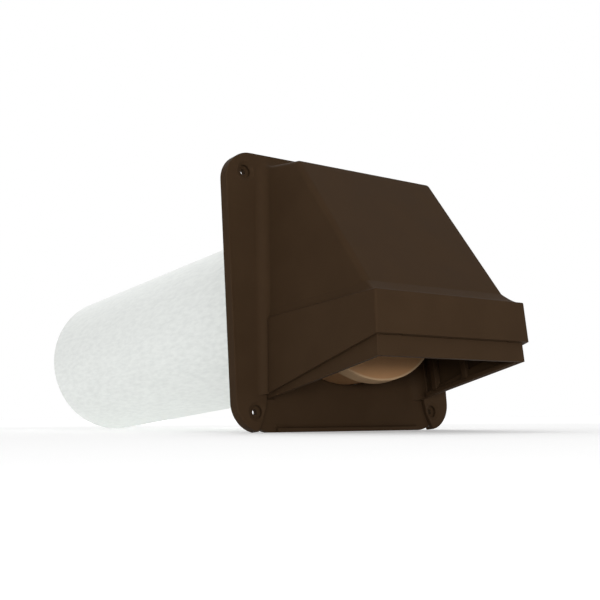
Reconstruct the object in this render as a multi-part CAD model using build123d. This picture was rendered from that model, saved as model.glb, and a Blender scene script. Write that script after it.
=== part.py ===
from build123d import *
from math import cos, radians, sin, sqrt, tan
import os

# Wide-mouth exhaust vent hood with a four inch tail pipe, in millimetres
# X is to the right facing the hood, Y runs into the wall along the pipe, Z is up
# The origin is on the pipe axis, in the wall's face

# Clearances between pieces
flat_gap = 0.3
nest_gap = 0.5
round_gap = 0.3
axle_gap = 0.05

# Tail pipe
pipe_od = 101.6
pipe_wall = 0.45
pipe_length = 279.4

# Duct sleeve
tube_step = 6.0
tube_wall = 2.0
collar_length = 28.0
shoulder_t = 2.2
seat_reach = 26.0
seat_tilt = 6.0
collar_setback = 8.0
stop_width = 8.0
stop_length = 1.8
stop_height = 1.2

# Damper flap and its hinge
flap_rim_gap = 5.7
flap_t = 1.8
flap_rim_t = 1.5
flap_rim_depth = 6.0
axle_r = 2.0
axle_lift = 4.6
axle_setback = 5.0
axle_overhang = 1.5
lug_spacing = 48.0
lug_t = 4.0
lug_wall = 2.4
arm_t = 3.0
arm_spacing = 26.0
arm_lift = 0.8

# Flange with its ears and screw holes
flange_border = 20.2
flange_corner_r = 16.0
flange_t = 2.4
rim_t = 1.8
screw_inset_x = 12.7
screw_inset_z = 10.7
screw_r = 3.5
sink_w = 2.0
sink_depth = 1.0
ear_tip_w = 12.6
ear_bulge = 1.2

# Cover: roof, ledge and skirt
cover_wall = 2.3
root_side_gap = 5.2
side_lean = 0.05
roof_taper = 0.09
skirt_taper = 0.049
skirt_step = 1.2
skirt_back_gap = 4.5
roof_margin = 0.6
ridge_y = 34.0
ridge_drop = 4.2
front_y = 92.0
ledge_front = 6.0
ledge_height = 8.0
ledge_tuck = 0.4
ledge_rises = (0.0, 0.1, 0.3, 0.6, 1.0)
skirt_top_z = -16.0
parting_front_z = -37.0
parting_root_z = -57.0
roof_edge_r = 3.0
skirt_edge_r = 1.2
ledge_edge_r = 0.7
root_fillet_r = 6.0

# Base: back plate, bottom lip, barred side walls and front band
base_t = 3.5
base_corner_r = 22.0
pilot_r = 1.6
guard_t = 1.8
guard_drop = 3.0
guard_front_z = -47.0
guard_root_z = -58.6
guard_cove_r = 7.0
window_lift = 1.0
top_rail_h = 4.0
window_start = 12.0
window_1_w = 6.4
window_2_w = 21.0
window_front_gap = 21.0
bar_w = 4.4
lip_reach = 3.0
lip_t = 2.0
lip_end_gap = 1.0
lip_cove_r = 2.8

# Snap catches along the parting line
catch_front_gap = 18.8
catch_corner_gap = 16.5
catch_w = 2.4
catch_proud = 0.9
catch_lift = 1.6
catch_h = 3.0
pocket_depth = 1.2
pocket_side_gap = 0.4

# Sizes that follow from the ones above
pipe_r = pipe_od / 2
pipe_bore_r = pipe_r - pipe_wall
collar_r = pipe_bore_r - round_gap
tube_r = pipe_r - tube_step
tube_bore_r = tube_r - tube_wall
flap_r = tube_r + flap_rim_gap + flap_rim_t
flap_half = tube_r + nest_gap + flap_rim_t
base_face_y = -base_t
flange_back_y = base_face_y - flat_gap
flange_face_y = flange_back_y - flange_t
root_half = pipe_r + root_side_gap
flange_half = root_half + flange_border
flange_size = 2 * flange_half
roof_root_z = flange_half - root_fillet_r - roof_margin
ridge_z = roof_root_z - ridge_drop
ear_tip_x = flange_half - ear_tip_w
screw_x = flange_half - screw_inset_x
screw_z = flange_half - screw_inset_z
base_half = flange_half - rim_t - nest_gap
base_top_r = flange_corner_r - rim_t
roof_side = (root_half, roof_taper)
skirt_side = (root_half + skirt_step, skirt_taper)
skirt_back = flange_face_y - skirt_back_gap
bar_1_y = window_start + window_1_w + bar_w / 2
bar_2_y = bar_1_y + bar_w + window_2_w
window_end = front_y - window_front_gap
catch_side_y = (bar_1_y, front_y - catch_front_gap)
axle_z = tube_r + axle_lift
lug_hole_r = axle_r + axle_gap
slant = tan(radians(seat_tilt))
far = 4 * flange_size
overlap = cover_wall / 2
tol = flat_gap / 30


def xz(y):
    # Upright plane at depth y, drawing X across and Z up, extruding towards the front
    return Plane(origin=(0, y, 0), x_dir=(1, 0, 0), z_dir=(0, -1, 0))


def outline_yz(points):
    # Face in the pipe's upright plane from points given as Y and Z
    return make_face(Plane.YZ * Polyline(*points, close=True))


def prism_x(points, half):
    # Outline given as Y and Z, extruded to both sides of the middle
    return extrude(outline_yz(points), half, both=True)


def block(x1, x2, y1, y2, z1, z2):
    # Box between two corners
    centre = ((x1 + x2) / 2, (y1 + y2) / 2, (z1 + z2) / 2)
    return Pos(*centre) * Box(abs(x2 - x1), abs(y2 - y1), abs(z2 - z1))


def side_x(side, y, z, inset=0.0):
    # Half width of a leaning and tapering side, inset square to its face
    half, taper = side
    square = sqrt(1 + taper ** 2 + side_lean ** 2)
    return half - side_lean * (z - skirt_top_z) + taper * (y - flange_face_y) - inset * square


def trim_sides(solid, side, inset=0.0):
    # Cuts a solid to the two leaning and tapering sides
    x = side_x(side, flange_face_y, skirt_top_z, inset)
    for sign in (1, -1):
        origin = (sign * x, flange_face_y, skirt_top_z)
        face = Plane(origin=origin, z_dir=(sign, -side[1], side_lean))
        solid = split(solid, bisect_by=face, keep=Keep.BOTTOM)
    return solid


def line_z(y, front_z, root_z):
    # Height of a straight lower edge at depth y
    return front_z + (root_z - front_z) * (y + front_y) / (flange_face_y + front_y)


def trim_below(solid, front_z, root_z):
    # Cuts away what lies below a straight lower edge
    y1 = -2 * front_y
    y2 = front_y
    low = [(y1, line_z(y1, front_z, root_z)), (y2, line_z(y2, front_z, root_z)), (y2, -far), (y1, -far)]
    return solid - prism_x(low, far)


def slope_y(z, inset=0.0):
    # Depth of the roof's front slope at a height
    foot = -(front_y - ledge_front)
    run = (-ridge_y - foot) / (ridge_z - skirt_top_z)
    return foot + run * (z - skirt_top_z) + inset * sqrt(1 + run ** 2)


def roof_z(y, inset=0.0):
    # Height of the roof's top face at a depth
    run = (ridge_z - roof_root_z) / (-ridge_y - flange_face_y)
    return roof_root_z + run * (y - flange_face_y) - inset * sqrt(1 + run ** 2)


def ridge_point(inset):
    # Where the top face and the front slope meet, as Y and Z
    run_top = (ridge_z - roof_root_z) / (-ridge_y - flange_face_y)
    run_front = slope_y(1.0) - slope_y(0.0)
    y0 = slope_y(0.0, inset)
    z0 = roof_z(0.0, inset)
    z = (z0 + run_top * y0) / (1 - run_top * run_front)
    return (y0 + run_front * z, z)


def roof_body(inset, y_back, z_low):
    # Roof as a solid, from a back depth down to a low height
    points = [(y_back, z_low), (y_back, roof_z(y_back, inset)), ridge_point(inset),
              (slope_y(z_low, inset), z_low)]
    return trim_sides(prism_x(points, far / 4), roof_side, inset)


def skirt_body(inset, y_back, z_top, side=skirt_side):
    # Skirt as a solid with its front face, open below
    body = block(-far / 4, far / 4, -front_y + inset, y_back, -flange_size, z_top)
    return trim_sides(body, side, inset)


def ledge_section(rise):
    # Plan outline of the hollow ledge at a share of its height
    share = 1 - sqrt(1 - (1 - rise) ** 2)
    z = skirt_top_z + rise * ledge_height
    y_back = skirt_back
    tuck = ledge_tuck * rise ** 2
    y_front = slope_y(z) + share * (-front_y + ledge_edge_r - slope_y(z)) + tuck
    corners = []
    for y in (y_back, y_front):
        inner = side_x(roof_side, y, z)
        outer = side_x(skirt_side, y, z, ledge_edge_r)
        corners.append((inner + share * (outer - inner) - tuck, y))
    (xb, yb), (xf, yf) = corners
    outline = Polygon((xb, yb), (xf, yf), (-xf, yf), (-xb, yb), align=None)
    corner_r = skirt_edge_r + rise * (roof_edge_r - skirt_edge_r)
    outline = fillet(outline.vertices().sort_by(Axis.Y)[:2], corner_r)
    return Pos(0, 0, z) * outline


def build_cover():
    # Roof and root block, rounded along their outer edges
    root_depth = flange_face_y - 2 * root_fillet_r
    roof = roof_body(0.0, flange_face_y, skirt_top_z)
    root = skirt_body(0.0, flange_face_y, skirt_top_z + overlap, roof_side)
    root = root & block(-far, far, root_depth, flange_face_y, -far, far)
    body = trim_below(roof + root, parting_front_z, parting_root_z)
    edges = ShapeList()
    for edge in body.edges():
        middle = edge @ 0.5
        start = edge @ 0
        end = edge @ 1
        on_root = abs(start.Y - flange_face_y) < tol and abs(end.Y - flange_face_y) < tol
        above = min(start.Z, end.Z) > skirt_top_z - tol and middle.Z > skirt_top_z + ledge_height
        if above and not on_root:
            edges.append(edge)
    body = fillet(edges, roof_edge_r)

    # Flange plate with a rim that hides the base's edge
    plate_outline = RectangleRounded(flange_size, flange_size, flange_corner_r)
    rim_size = flange_size - 2 * rim_t
    rim_outline = RectangleRounded(rim_size, rim_size, flange_corner_r - rim_t)
    plate = extrude(xz(0) * plate_outline, -flange_face_y)
    plate = plate - extrude(xz(0) * rim_outline, -flange_back_y)
    cover = body + plate

    # Hollow between the flange and the hood's foot
    root_edges = ShapeList()
    limit = flange_half - rim_t / 2
    for edge in cover.edges():
        box = edge.bounding_box()
        on_face = abs(box.min.Y - flange_face_y) < tol and abs(box.max.Y - flange_face_y) < tol
        inside = box.max.Z < limit and box.min.X > -limit and box.max.X < limit
        lower = box.max.Z < parting_root_z + overlap
        if on_face and inside and not lower:
            root_edges.append(edge)
    cover = fillet(root_edges, root_fillet_r)

    # Skirt and hollow ledge in front of the foot
    skirt = skirt_body(0.0, skirt_back, skirt_top_z)
    upright = skirt.edges().filter_by(lambda e: abs((e @ 0.5).Y + front_y) < tol)
    upright = upright.filter_by(lambda e: abs((e @ 0.5).X) > overlap)
    skirt = fillet(upright, skirt_edge_r)
    top = skirt.edges().filter_by(lambda e: min((e @ 0).Z, (e @ 1).Z) > skirt_top_z - tol)
    top = top.filter_by(lambda e: (e @ 0.5).Y < skirt_back - tol)
    skirt = fillet(top, ledge_edge_r)
    skirt = trim_below(skirt, parting_front_z, parting_root_z)
    ledge = loft([ledge_section(rise) for rise in ledge_rises])
    cover = cover + skirt + ledge

    # Inside of the hood, open to the wall and below
    inside_low = skirt_top_z - 2 * cover_wall
    cover = cover - roof_body(cover_wall, overlap, inside_low)
    cover = cover - skirt_body(cover_wall, overlap, skirt_top_z - cover_wall)

    # Gap between the two ears, below the hood's foot
    inner_x = side_x(skirt_side, flange_face_y, parting_root_z, cover_wall)
    mid_x = (inner_x + ear_tip_x) / 2 - ear_bulge
    mid_z = (parting_root_z - flange_half) / 2
    right = ThreePointArc((inner_x, parting_root_z), (mid_x, mid_z), (ear_tip_x, -flange_half))
    left = ThreePointArc((-ear_tip_x, -flange_half), (-mid_x, mid_z), (-inner_x, parting_root_z))
    low = Polyline((ear_tip_x, -flange_half), (ear_tip_x, -flange_size), (-ear_tip_x, -flange_size),
                   (-ear_tip_x, -flange_half))
    high = Polyline((-inner_x, parting_root_z), (-inner_x, 0), (inner_x, 0), (inner_x, parting_root_z))
    gap = make_face([right, low, left, high])
    cover = cover - extrude(xz(overlap) * gap, overlap - flange_face_y)

    # Screw holes with a shallow sink
    for x in (-screw_x, screw_x):
        for z in (-screw_z, screw_z):
            at = Plane(origin=(x, flange_face_y, z), z_dir=(0, 1, 0))
            cover = cover - at * Cylinder(screw_r, far, align=(Align.CENTER, Align.CENTER, Align.MIN))
            cone = Cone(screw_r + sink_w, screw_r, sink_depth, align=(Align.CENTER, Align.CENTER, Align.MIN))
            cover = cover - at * cone

    # Pockets for the base's catches, open along the parting line
    for piece in catch_blocks(True):
        cover = cover - piece
    return cover


def catch_blocks(pocket):
    # Catches on the base, or the pockets that take them inside the skirt
    room = pocket_side_gap if pocket else 0.0
    inset = cover_wall - pocket_depth if pocket else cover_wall + nest_gap - catch_proud
    shell = cover_wall + nest_gap + guard_t / 2
    half = catch_w / 2 + room
    foot = -flange_half if pocket else catch_lift
    head = catch_lift + catch_h + room
    core = trim_sides(block(-far / 4, far / 4, -far, far, -far, far), skirt_side, shell)
    pieces = []
    for sign in (1, -1):
        for depth in catch_side_y:
            edge_z = line_z(-depth, parting_front_z, parting_root_z)
            body = block(0, sign * far / 4, -depth - half, -depth + half, edge_z + foot, edge_z + head)
            pieces.append(trim_sides(body, skirt_side, inset) - core)
        edge_z = parting_front_z
        x = sign * (side_x(skirt_side, -front_y, edge_z) - catch_corner_gap)
        front = -front_y + inset
        back = -front_y + shell
        pieces.append(block(x - half, x + half, front, back, edge_z + foot, edge_z + head))
    return pieces


def build_base():
    # Back plate, rounder at its lower corners
    height = base_half + flange_half
    outline = Pos(0, (base_half - flange_half) / 2) * Rectangle(2 * base_half, height)
    lower = outline.vertices().sort_by(Axis.Y)[:2]
    outline = fillet(lower, base_corner_r)
    upper = outline.vertices().sort_by(Axis.Y)[-2:]
    outline = fillet(upper, base_top_r)
    plate = extrude(xz(0) * outline, base_t)

    # Side walls and front band, nested in the cover's skirt
    outer = cover_wall + nest_gap
    inner = outer + guard_t
    top_z = skirt_top_z - cover_wall - guard_drop
    walls = skirt_body(outer, base_face_y, top_z)
    walls = walls - skirt_body(inner, overlap, top_z + overlap)
    walls = trim_below(walls, guard_front_z, guard_root_z)
    base = plate + walls

    # Hollow corners between the plate and the side walls
    cove = ShapeList()
    for edge in base.edges():
        box = edge.bounding_box()
        on_face = abs(box.min.Y - base_face_y) < tol and abs(box.max.Y - base_face_y) < tol
        within = box.max.Z < top_z + overlap and box.min.Z > guard_root_z - overlap
        tall = box.max.Z - box.min.Z > guard_cove_r and within
        middle = abs(edge.center().X)
        wall_x = side_x(skirt_side, base_face_y, edge.center().Z, inner)
        if on_face and tall and abs(middle - wall_x) < guard_t / 2:
            cove.append(edge)
    base = fillet(cove, guard_cove_r)

    # Windows between the bars of the side walls
    edges_y = [window_start, bar_1_y - bar_w / 2, bar_1_y + bar_w / 2, bar_2_y - bar_w / 2,
               bar_2_y + bar_w / 2, window_end]
    for i in (0, 2, 4):
        y1 = -edges_y[i]
        y2 = -edges_y[i + 1]
        z1 = line_z(y1, parting_front_z, parting_root_z) + window_lift
        z2 = line_z(y2, parting_front_z, parting_root_z) + window_lift
        top = top_z - top_rail_h
        base = base - prism_x([(y1, z1), (y2, z2), (y2, top), (y1, top)], far / 4)

    # Lip along the bottom of the plate
    lip_front = base_face_y - lip_reach
    low = -flange_half
    lip_half = base_half - base_corner_r - lip_end_gap
    lip = block(-lip_half, lip_half, lip_front, base_face_y, low, low + lip_t)
    base = base + lip
    inside = base.edges().filter_by(lambda e: abs((e @ 0.5).Y - base_face_y) < tol and e.length > lip_half)
    inside = inside.filter_by(lambda e: abs((e @ 0.5).Z - low - lip_t) < tol)
    base = fillet(inside, lip_cove_r)

    # Duct hole and the pilot holes behind the cover's screw holes
    base = base - xz(0) * Cylinder(collar_r + round_gap, 4 * base_t)
    for x in (-screw_x, screw_x):
        for z in (-screw_z, screw_z):
            base = base - Pos(x, 0, z) * (xz(0) * Cylinder(pilot_r, 4 * base_t))

    # Catches that hold the cover
    for piece in catch_blocks(False):
        base = base + piece
    return base


def seat_y(z):
    # Depth of the slanted seat at a height
    return -seat_reach + slant * z


def ahead_of_seat(setback):
    # Everything in front of a slanted plane that lies a given depth behind the seat
    top = seat_y(far) + setback
    bottom = seat_y(-far) + setback
    return prism_x([(top, far), (bottom, -far), (-far, -far), (-far, far)], far)


def axle_y():
    # Depth of the hinge line, set back from the seat
    return seat_y(axle_z) + axle_setback


def build_sleeve():
    # Front tube, cut on the slant for the damper
    low = (Align.CENTER, Align.CENTER, Align.MIN)
    body = xz(0) * Cylinder(tube_r, seat_reach + tube_r, align=low)
    body = body - ahead_of_seat(0.0)

    # Wider collar through the plate, which carries the pipe behind it and ends behind the damper's rim
    reach = collar_length + seat_reach + tube_r
    body = body + (xz(collar_length) * Cylinder(collar_r, reach, align=low) - ahead_of_seat(collar_setback))

    # Hinge lugs on top of the tube
    lug_r = lug_hole_r + lug_wall
    for x in (-lug_spacing / 2, lug_spacing / 2):
        foot_z = sqrt(tube_r ** 2 - (abs(x) + lug_t / 2) ** 2) - tube_wall / 2
        lug = block(x - lug_t / 2, x + lug_t / 2, axle_y() - lug_r, axle_y() + lug_r, foot_z, axle_z)
        side = Plane(origin=(x, axle_y(), axle_z), z_dir=(1, 0, 0))
        lug = lug + side * Cylinder(lug_r, lug_t)
        body = body + lug - side * Cylinder(lug_hole_r, 2 * lug_t)

    # Stops that rest on the plate's face, with the pipe's end behind the plate
    for turn in (45, 135, 225, 315):
        stop = block(-stop_width / 2, stop_width / 2, base_face_y - stop_length, base_face_y,
                     collar_r - tube_wall / 2, collar_r + stop_height)
        body = body + Rot(0, turn, 0) * stop

    # Air way through the tube and the wider collar
    body = body - xz(far) * Cylinder(tube_bore_r, 2 * far, align=low)
    wide = xz(far) * Cylinder(collar_r - tube_wall, 2 * far, align=low)
    return body - (wide - ahead_of_seat(collar_setback + shoulder_t))


def build_flap():
    # Face on the slanted seat
    tilt = radians(seat_tilt)
    seat = Plane(origin=(0, -seat_reach - flat_gap, 0), x_dir=(1, 0, 0), z_dir=(0, -cos(tilt), sin(tilt)))
    disc = Circle(flap_r) & Rectangle(2 * flap_half, 4 * flap_r)
    flap = extrude(seat * disc, flap_t)

    # Rim turned back over the tube, left out at the hinge
    hollow = Circle(flap_r - flap_rim_t) & Rectangle(2 * (flap_half - flap_rim_t), 4 * flap_r)
    rim = extrude(seat * (disc - hollow), -flap_rim_depth)
    rim_half = lug_spacing / 2 + lug_t / 2 + axle_overhang + nest_gap
    rim = rim - block(-rim_half, rim_half, -far, far, 0, far)
    flap = flap + rim

    # Axle and the arms that carry the flap on it
    axle_half = lug_spacing / 2 + lug_t / 2 + axle_overhang
    flap = flap + Plane(origin=(0, axle_y(), axle_z), z_dir=(1, 0, 0)) * Cylinder(axle_r, 2 * axle_half)
    depth = flat_gap + flap_t / 2
    low = tube_r + arm_lift
    arm = prism_x([(axle_y(), axle_z + axle_r), (seat_y(axle_z) - depth, axle_z), (seat_y(low) - depth, low),
                   (axle_y(), axle_z - axle_r)], arm_t / 2)
    for x in (-arm_spacing / 2, arm_spacing / 2):
        flap = flap + Pos(x, 0, 0) * arm
    return flap


def build_pipe():
    # Plain rolled tube, pushed over the collar up to the plate
    low = (Align.CENTER, Align.CENTER, Align.MIN)
    back = Plane(origin=(0, 0, 0), z_dir=(0, 1, 0))
    pipe = back * Cylinder(pipe_r, pipe_length, align=low)
    return pipe - back * Cylinder(pipe_bore_r, pipe_length, align=low)


os.makedirs("parts", exist_ok=True)
parts = {
    "hood_cover": build_cover(),
    "base_frame": build_base(),
    "damper_sleeve": build_sleeve(),
    "damper_flap": build_flap(),
    "tail_pipe": build_pipe(),
}
for name, shape in parts.items():
    export_step(shape, f"parts/{name}.step")
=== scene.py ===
from math import atan2, cos, radians, sin

import bmesh
import bpy
from mathutils import Matrix, Vector


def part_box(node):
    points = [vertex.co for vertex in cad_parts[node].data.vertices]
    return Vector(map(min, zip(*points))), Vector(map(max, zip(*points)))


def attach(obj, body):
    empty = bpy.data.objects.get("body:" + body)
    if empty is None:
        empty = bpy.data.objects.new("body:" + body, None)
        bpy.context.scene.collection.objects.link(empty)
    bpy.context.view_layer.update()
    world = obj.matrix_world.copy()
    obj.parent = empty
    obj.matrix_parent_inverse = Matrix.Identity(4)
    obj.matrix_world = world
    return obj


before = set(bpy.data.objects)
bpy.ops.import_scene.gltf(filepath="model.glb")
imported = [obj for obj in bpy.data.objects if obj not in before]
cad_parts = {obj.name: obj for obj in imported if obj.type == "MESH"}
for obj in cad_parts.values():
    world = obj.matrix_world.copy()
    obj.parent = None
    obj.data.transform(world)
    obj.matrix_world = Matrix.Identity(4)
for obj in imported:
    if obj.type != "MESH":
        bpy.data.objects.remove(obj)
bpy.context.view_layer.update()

# Wide-mouth wall vent hood: dark brown moulded plastic with a tan damper and an aluminium tail pipe
# Metres, in the frame of the solids: +Y into the wall along the pipe, +Z up

mm = 0.001

# Camera, as read from the photograph: angles in degrees, place in the frame of the solids
image_size = 600
sensor_mm = 36.0
focal_px = 983.0
centre_px = (312.0, 288.0)
camera_azimuth = -38.48
camera_elevation = -11.52
camera_roll = -3.55
camera_place = Vector((-356.9, -426.9, -106.3)) * mm
near_clip = 10 * mm

# Colours, as sRGB hex
brown_face = "#3B2C1E"
brown_pale = "#4A3929"
tan_face = "#AA815B"
tan_pale = "#B8926E"
# Painted highlight along the damper flap's rim
tan_rim_painted_highlight = "#B79876"
aluminium_face = "#E3E5E3"
aluminium_dull = "#D9DBDA"
paper_white = "#F4F4F4"
white = (1.0, 1.0, 1.0, 1.0)

# Moulded polypropylene: sizes in millimetres, from the fine grain of the mould to the cloud in the colour.
# The real grain is about 0.15 mm and is drawn coarser, so that it shows
mould_grain_mm = 0.9
mould_cloud_mm = 24.0
mould_relief_mm = 0.05
# Width of the edges painted paler: partly wear, partly painted highlight
worn_and_highlit_edge_mm = 0.6
# Where the painted highlight on the flap's rim starts, and how softly it blends in
rim_wall_mm = 1.5
rim_blend_mm = 0.6
grain_detail = 3.0
cloud_detail = 4.0
cloud_span = (0.35, 0.65)
cloud_strength = 0.2
edge_samples = 8
edge_match = 0.75
edge_strength = 0.6
grain_bump = 0.12

# Its surface: the usual index of refraction, with a weak mirror image because the hood looks matt
plastic_ior = 1.49
plastic_specular = 0.02
brown_roughness = 0.58
tan_roughness = 0.55
roughness_spread = 0.05

# Mill-finish aluminium: sizes in millimetres across the pipe, drawn out along it.
# Real rolling lines are about 0.1 mm apart and are drawn coarser, so that they show
rolling_line_mm = 1.2
rolling_relief_mm = 0.05
dull_patch_mm = 2.2
rolled_along = (1.0, 0.3, 1.0)
line_detail = 2.0
patch_detail = 6.0
dull_span = (0.35, 0.68)
dull_strength = 0.4
line_bump = 0.05
aluminium_roughness = (0.78, 0.88)
grazing_tint = (0.5, 0.5, 0.5, 1.0)

# Values between which a noise is read for the roughness
gloss_span = (0.3, 0.7)

# Sockets of Blender's colour mix
mix_share = 0
mix_first = 6
mix_second = 7
mix_result = 2

# Inner face of the base's side walls, as the solids have it, in millimetres
wall_half = 52.59
wall_lean = 0.05
wall_taper = 0.049
wall_top_z = -16.0
wall_root_y = -6.2
wall_front_y = -92.0
wall_low_front_z = -47.0
wall_low_root_z = -58.6

# Ribs on the bars of that face and a rail along its lower edge, in millimetres
rib_depths = (20.6, 46.0)
rib_width = 4.0
rib_top_z = -23.0
rib_proud = 1.8
rib_sunk = 0.4
rib_round = 0.4
rib_round_steps = 2
rail_start_y = -12.5
rail_end_y = -85.0
rail_height = 2.8
rail_lift = 0.2

# Lamps: place and size in metres, power in watts
front_lamp_place = (-0.52, -0.84, -0.07)
front_lamp_size = (0.9, 0.14)
front_power = 5.3
top_lamp_place = (0.6, 1.4, 2.6)
top_lamp_size = (2.0, 2.0)
top_power = 27.0

# World and floor: light levels, and the distances in metres over which the floor's glow grows
horizon_light = 0.58
zenith_light = 0.38
backdrop_light = 1.0
floor_half = 4.0
near_glow = 0.32
far_glow = 0.62
mirrored_glow = 0.28
near_reach = 0.4
far_reach = 1.6


def linear(hex_colour):
    # sRGB hex to the linear colour that a shader takes
    channels = []
    for start in (1, 3, 5):
        value = int(hex_colour[start:start + 2], 16) / 255
        channels.append(value / 12.92 if value <= 0.04045 else ((value + 0.055) / 1.055) ** 2.4)
    return (*channels, 1.0)


def per_metre(size_mm):
    # Texture scale that gives features of a real size
    return 1.0 / (size_mm * mm)


def add(tree, kind, settings=None, inputs=None, links=None):
    # One node with its settings, its fixed socket values and its links in
    node = tree.nodes.new(kind)
    for name, value in (settings or {}).items():
        setattr(node, name, value)
    for name, value in (inputs or {}).items():
        node.inputs[name].default_value = value
    for name, socket in (links or {}).items():
        tree.links.new(socket, node.inputs[name])
    return node


def span(start, end, low, high):
    # Socket values that map one range of values to another
    return {"From Min": start, "From Max": end, "To Min": low, "To Max": high}


def new_material(name):
    # Empty node material
    material = bpy.data.materials.new(name)
    material.use_nodes = True
    material.node_tree.nodes.clear()
    return material, material.node_tree


def moulded_plastic(name, face, pale, roughness, highlit_rim_radius=None):
    # Injection-moulded polypropylene: an even colour with a faint cloud, a fine satin grain,
    # edges painted a little paler, partly as wear and partly as painted highlight, and a painted highlight
    # along the rim of the piece that has one
    material, tree = new_material(name)
    place = add(tree, "ShaderNodeTexCoord").outputs["Object"]
    cloud = add(tree, "ShaderNodeTexNoise",
                inputs={"Scale": per_metre(mould_cloud_mm), "Detail": cloud_detail},
                links={"Vector": place})
    grain = add(tree, "ShaderNodeTexNoise",
                inputs={"Scale": per_metre(mould_grain_mm), "Detail": grain_detail},
                links={"Vector": place})

    # Rounded normals against the true ones find the edges, which are painted paler, partly as wear and
    # partly as painted highlight
    round_edge = add(tree, "ShaderNodeBevel", {"samples": edge_samples}, {"Radius": worn_and_highlit_edge_mm * mm})
    shape = add(tree, "ShaderNodeNewGeometry")
    match = add(tree, "ShaderNodeVectorMath", {"operation": "DOT_PRODUCT"},
                links={0: round_edge.outputs["Normal"], 1: shape.outputs["Normal"]})
    edge = add(tree, "ShaderNodeMapRange", inputs=span(1.0, edge_match, 0.0, edge_strength),
               links={"Value": match.outputs["Value"]})
    mottle = add(tree, "ShaderNodeMapRange", inputs=span(*cloud_span, 0.0, cloud_strength),
                 links={"Value": cloud.outputs["Fac"]})
    paler = add(tree, "ShaderNodeMath", {"operation": "ADD", "use_clamp": True},
                links={0: edge.outputs["Result"], 1: mottle.outputs["Result"]})
    colour = add(tree, "ShaderNodeMix", {"data_type": "RGBA"},
                 {mix_first: linear(face), mix_second: linear(pale)}, {mix_share: paler.outputs["Value"]})

    # Painted highlight on the rim, found by its distance from the pipe's axis
    if highlit_rim_radius:
        across = add(tree, "ShaderNodeVectorMath", {"operation": "MULTIPLY"}, {1: (1.0, 0.0, 1.0)},
                     {0: place})
        distance = add(tree, "ShaderNodeVectorMath", {"operation": "LENGTH"},
                       links={0: across.outputs["Vector"]})
        inner = highlit_rim_radius - rim_wall_mm * mm
        on_rim_highlight = add(tree, "ShaderNodeMapRange", inputs=span(inner - rim_blend_mm * mm, inner, 0.0, 1.0),
                     links={"Value": distance.outputs["Value"]})
        colour = add(tree, "ShaderNodeMix", {"data_type": "RGBA"}, {mix_second: linear(tan_rim_painted_highlight)},
                     {mix_share: on_rim_highlight.outputs["Result"], mix_first: colour.outputs[mix_result]})

    gloss = add(tree, "ShaderNodeMapRange",
                inputs=span(*gloss_span, roughness - roughness_spread, roughness + roughness_spread),
                links={"Value": cloud.outputs["Fac"]})
    bump = add(tree, "ShaderNodeBump", inputs={"Strength": grain_bump, "Distance": mould_relief_mm * mm},
               links={"Height": grain.outputs["Fac"], "Normal": round_edge.outputs["Normal"]})
    shader = add(tree, "ShaderNodeBsdfPrincipled",
                 inputs={"IOR": plastic_ior, "Specular IOR Level": plastic_specular},
                 links={"Base Color": colour.outputs[mix_result], "Roughness": gloss.outputs["Result"],
                        "Normal": bump.outputs["Normal"]})
    add(tree, "ShaderNodeOutputMaterial", links={"Surface": shader.outputs["BSDF"]})
    return material


def rolled_aluminium(name):
    # Mill-finish aluminium sheet: pale and dull, with fine rolling lines along the pipe and soft dull
    # patches
    material, tree = new_material(name)
    place = add(tree, "ShaderNodeTexCoord").outputs["Object"]
    along = add(tree, "ShaderNodeMapping", inputs={"Scale": rolled_along}, links={"Vector": place})
    lines = add(tree, "ShaderNodeTexNoise",
                inputs={"Scale": per_metre(rolling_line_mm), "Detail": line_detail},
                links={"Vector": along.outputs["Vector"]})
    patches = add(tree, "ShaderNodeTexNoise",
                  inputs={"Scale": per_metre(dull_patch_mm), "Detail": patch_detail},
                  links={"Vector": along.outputs["Vector"]})
    dull = add(tree, "ShaderNodeMapRange", inputs=span(*dull_span, 0.0, dull_strength),
               links={"Value": patches.outputs["Fac"]})
    colour = add(tree, "ShaderNodeMix", {"data_type": "RGBA"},
                 {mix_first: linear(aluminium_face), mix_second: linear(aluminium_dull)},
                 {mix_share: dull.outputs["Result"]})
    gloss = add(tree, "ShaderNodeMapRange", inputs=span(*gloss_span, *aluminium_roughness),
                links={"Value": patches.outputs["Fac"]})
    bump = add(tree, "ShaderNodeBump", inputs={"Strength": line_bump, "Distance": rolling_relief_mm * mm},
               links={"Height": lines.outputs["Fac"]})
    shader = add(tree, "ShaderNodeBsdfPrincipled", inputs={"Metallic": 1.0, "Specular Tint": grazing_tint},
                 links={"Base Color": colour.outputs[mix_result], "Roughness": gloss.outputs["Result"],
                        "Normal": bump.outputs["Normal"]})
    add(tree, "ShaderNodeOutputMaterial", links={"Surface": shader.outputs["BSDF"]})
    return material


def shown_rays(tree):
    # One where the camera sees a surface, or sees it mirrored or through glass
    ray = add(tree, "ShaderNodeLightPath")
    seen = add(tree, "ShaderNodeMath", {"operation": "MAXIMUM"},
               links={0: ray.outputs["Is Camera Ray"], 1: ray.outputs["Is Glossy Ray"]})
    seen = add(tree, "ShaderNodeMath", {"operation": "MAXIMUM"},
               links={0: seen.outputs["Value"], 1: ray.outputs["Is Transmission Ray"]})
    return seen.outputs["Value"]


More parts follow.
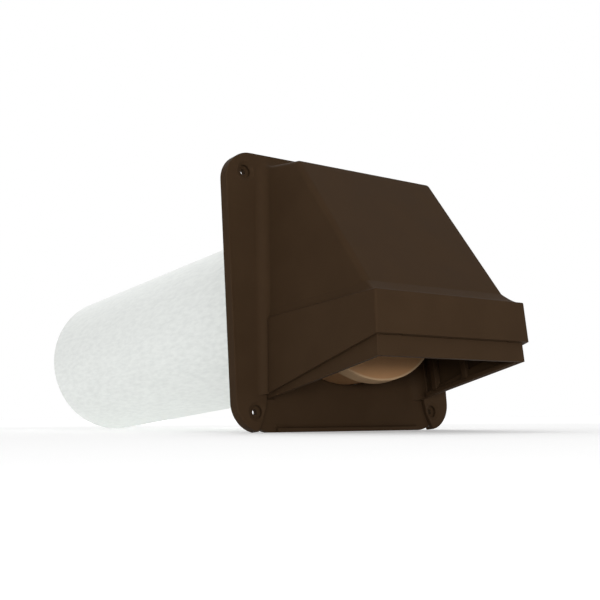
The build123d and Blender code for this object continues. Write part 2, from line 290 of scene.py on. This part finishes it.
def white_paper(name):
    # Matt white paper with a glow that only shows, so that it looks white but keeps the object's shadow.
    # The glow grows away from the object, where the lamps reach less, and is stronger as metal mirrors it
    material, tree = new_material(name)
    matt = add(tree, "ShaderNodeBsdfDiffuse", inputs={"Color": linear(paper_white)})
    place = add(tree, "ShaderNodeTexCoord").outputs["Object"]
    distance = add(tree, "ShaderNodeVectorMath", {"operation": "LENGTH"}, links={0: place})
    level = add(tree, "ShaderNodeMapRange", inputs=span(near_reach, far_reach, near_glow, far_glow),
                links={"Value": distance.outputs["Value"]})
    ray = add(tree, "ShaderNodeLightPath")
    level = add(tree, "ShaderNodeMath", {"operation": "MULTIPLY_ADD"}, {1: mirrored_glow},
                {0: ray.outputs["Is Glossy Ray"], 2: level.outputs["Result"]})
    glow = add(tree, "ShaderNodeEmission", inputs={"Color": white},
               links={"Strength": level.outputs["Value"]})
    both = add(tree, "ShaderNodeAddShader", links={0: matt.outputs["BSDF"], 1: glow.outputs["Emission"]})
    mix = add(tree, "ShaderNodeMixShader",
              links={0: shown_rays(tree), 1: matt.outputs["BSDF"], 2: both.outputs["Shader"]})
    add(tree, "ShaderNodeOutputMaterial", links={"Surface": mix.outputs["Shader"]})
    return material


def dress(node, material):
    # Gives a solid its finish
    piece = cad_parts[node]
    if not piece.material_slots:
        piece.data.materials.append(material)
    for slot in piece.material_slots:
        slot.material = material


def wall_x(y, z):
    # Half width between the side walls' inner faces
    return wall_half - wall_lean * (z - wall_top_z) + wall_taper * (y - wall_root_y)


def wall_low_z(y):
    # Height of the side walls' lower edge
    share = (y - wall_front_y) / (wall_root_y - wall_front_y)
    return wall_low_front_z + share * (wall_low_root_z - wall_low_front_z)


def rib_outlines():
    # The rail and the upright ribs of one side wall, each as four points of Y and Z
    rail = [(y, wall_low_z(y) + rail_lift) for y in (rail_start_y, rail_end_y)]
    rail += [(y, wall_low_z(y) + rail_height) for y in (rail_end_y, rail_start_y)]
    outlines = [rail]
    for depth in rib_depths:
        y1 = -depth - rib_width / 2
        y2 = -depth + rib_width / 2
        foot_z = wall_low_z(-depth) + rail_height / 2
        outlines.append([(y1, foot_z), (y2, foot_z), (y2, rib_top_z), (y1, rib_top_z)])
    return outlines


def wall_points(ribs, outline, sign, inset):
    # Corners of a rib's outline, moved in from one side wall's face
    return [ribs.verts.new((sign * (wall_x(y, z) - inset) * mm, y * mm, z * mm)) for y, z in outline]


def side_ribs(name, sign, material):
    # Stiffening ribs moulded on the inside of one side wall, with rounded edges
    ribs = bmesh.new()
    for outline in rib_outlines():
        sunk = wall_points(ribs, outline, sign, -rib_sunk)
        proud = wall_points(ribs, outline, sign, rib_proud)
        ribs.faces.new(sunk)
        ribs.faces.new(proud)
        for i in range(len(outline)):
            ribs.faces.new((sunk[i - 1], sunk[i], proud[i], proud[i - 1]))
    bmesh.ops.recalc_face_normals(ribs, faces=ribs.faces[:])
    bmesh.ops.bevel(ribs, geom=ribs.edges[:], offset=rib_round * mm, segments=rib_round_steps, profile=0.5,
                    affect="EDGES")
    mesh = bpy.data.meshes.new(name)
    ribs.to_mesh(mesh)
    ribs.free()
    mesh.materials.append(material)
    piece = bpy.data.objects.new(name, mesh)
    bpy.context.collection.objects.link(piece)
    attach(piece, "hood")


def floor_under_object():
    # Plane that the hood lies on, through the flange's lower edge and the low side of the pipe's far end
    flange_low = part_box("hood_cover")[0][2]
    pipe_low, pipe_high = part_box("tail_pipe")
    rise = atan2(pipe_low[2] - flange_low, pipe_high[1])
    corners = []
    for across, along in ((-1, -1), (1, -1), (1, 1), (-1, 1)):
        run = along * floor_half
        corners.append((across * floor_half, run * cos(rise), flange_low + run * sin(rise)))
    mesh = bpy.data.meshes.new("floor")
    mesh.from_pydata(corners, [], [(0, 1, 2, 3)])
    mesh.materials.append(white_paper("white_paper"))
    floor = bpy.data.objects.new("floor", mesh)
    bpy.context.collection.objects.link(floor)


def soft_lamp(name, place, size, power):
    # Soft box, as wide and high as given, that looks at the origin
    data = bpy.data.lights.new(name, "AREA")
    data.shape = "RECTANGLE"
    data.size, data.size_y = size
    data.energy = power
    lamp = bpy.data.objects.new(name, data)
    lamp.location = place
    lamp.rotation_euler = (-Vector(place)).to_track_quat("-Z", "Y").to_euler()
    bpy.context.collection.objects.link(lamp)


def studio_world():
    # Soft light, less from overhead, and white wherever the background is seen or mirrored
    world = bpy.data.worlds.new("studio")
    world.use_nodes = True
    tree = world.node_tree
    tree.nodes.clear()
    direction = add(tree, "ShaderNodeTexCoord").outputs["Generated"]
    height = add(tree, "ShaderNodeSeparateXYZ", links={"Vector": direction})
    level = add(tree, "ShaderNodeMapRange", inputs=span(0.0, 1.0, horizon_light, zenith_light),
                links={"Value": height.outputs["Z"]})
    soft = add(tree, "ShaderNodeBackground", inputs={"Color": white},
               links={"Strength": level.outputs["Result"]})
    backdrop = add(tree, "ShaderNodeBackground", inputs={"Color": white, "Strength": backdrop_light})
    mix = add(tree, "ShaderNodeMixShader",
              links={0: shown_rays(tree), 1: soft.outputs["Background"], 2: backdrop.outputs["Background"]})
    add(tree, "ShaderNodeOutputWorld", links={"Surface": mix.outputs["Shader"]})
    bpy.context.scene.world = world


def photo_camera():
    # Camera at the photograph's angle, framed as the photograph is
    azimuth = radians(camera_azimuth)
    elevation = radians(camera_elevation)
    back = Vector((sin(azimuth) * cos(elevation), -cos(azimuth) * cos(elevation), sin(elevation)))
    across = Vector((0, 0, 1)).cross(back).normalized()
    up = back.cross(across)
    turn = Matrix((across, up, back)).transposed() @ Matrix.Rotation(radians(camera_roll), 3, "Z")
    data = bpy.data.cameras.new("photo_camera")
    data.sensor_width = sensor_mm
    data.lens = focal_px / image_size * sensor_mm
    data.shift_x = -(centre_px[0] - image_size / 2) / image_size
    data.shift_y = (centre_px[1] - image_size / 2) / image_size
    data.clip_start = near_clip
    camera = bpy.data.objects.new("photo_camera", data)
    camera.matrix_world = Matrix.Translation(camera_place) @ turn.to_4x4()
    bpy.context.collection.objects.link(camera)
    bpy.context.scene.camera = camera


# Finishes
flap_radius = -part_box("damper_flap")[0][2]
brown = moulded_plastic("brown_moulded_polypropylene", brown_face, brown_pale, brown_roughness)
tan_sleeve = moulded_plastic("tan_moulded_polypropylene", tan_face, tan_pale, tan_roughness)
# The flap's finish carries a painted highlight along its rim
tan_flap = moulded_plastic("tan_moulded_polypropylene_painted_rim_highlight", tan_face, tan_pale, tan_roughness,
                           flap_radius)
aluminium = rolled_aluminium("mill_finish_aluminium")
dress("hood_cover", brown)
dress("base_frame", brown)
dress("damper_sleeve", tan_sleeve)
dress("damper_flap", tan_flap)
dress("tail_pipe", aluminium)

# Ribs inside the base
side_ribs("base_ribs_right", 1, brown)
side_ribs("base_ribs_left", -1, brown)

# Studio
floor_under_object()
studio_world()
soft_lamp("front_lamp", front_lamp_place, front_lamp_size, front_power)
soft_lamp("top_lamp", top_lamp_place, top_lamp_size, top_power)
photo_camera()
bpy.context.scene.view_settings.view_transform = "Standard"
